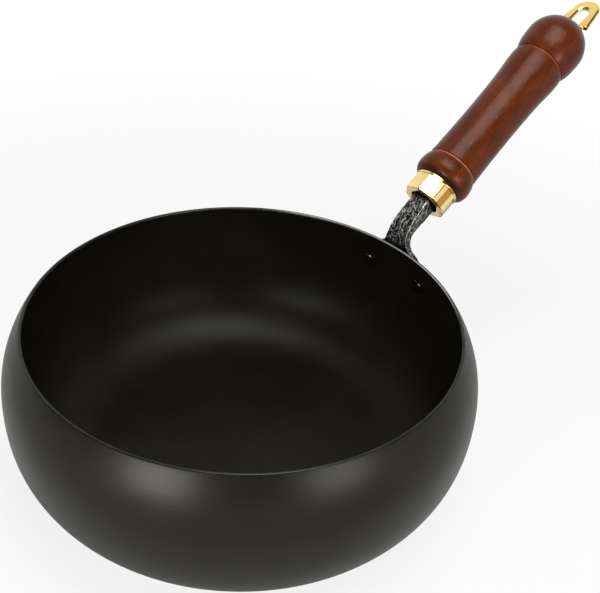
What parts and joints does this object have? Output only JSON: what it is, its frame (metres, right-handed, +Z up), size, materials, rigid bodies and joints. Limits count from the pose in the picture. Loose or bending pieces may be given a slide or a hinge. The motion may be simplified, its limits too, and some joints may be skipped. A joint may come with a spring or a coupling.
{
  "type": "deep iron pan with a wooden handle",
  "caption": "Round-bellied deep iron pan with a riveted forged bracket, a turned wooden grip in a faceted brass ferrule and a swinging brass hanging loop.",
  "frame": {"origin": "middle of the flat base, on its underside", "axes": "+Z up the bowl's axis, +X towards the handle, so Y = 0 is the mirror plane"},
  "size_m": [0.4396, 0.2646, 0.2136],
  "materials": {
    "bowl_iron": "satin seasoned",
    "forged_iron": "hammered, glossy black",
    "rivet_steel": "blackened",
    "gold_brass": "polished",
    "lacquered_wood": "gloss lacquer",
    "bolt_steel": "zinc plated"
  },
  "bodies": {
    "pan": {"pan_bowl": "bowl_iron", "handle_bracket": "forged_iron", "rivet_left": "rivet_steel", "rivet_right": "rivet_steel", "ferrule": "gold_brass", "wood_grip": "lacquered_wood", "tie_bolt": "bolt_steel", "bolt_washer": "bolt_steel", "loop_pin": "bolt_steel"},
    "loop": {"hanging_loop": "gold_brass"}
  },
  "joints": [
    {"name": "loop_swing", "type": "hinge", "parent": "pan", "child": "loop", "pos_m": [0.27721, 0, 0.19825], "axis": [0, -1, 0], "range_deg": [0, 14]}
  ]
}
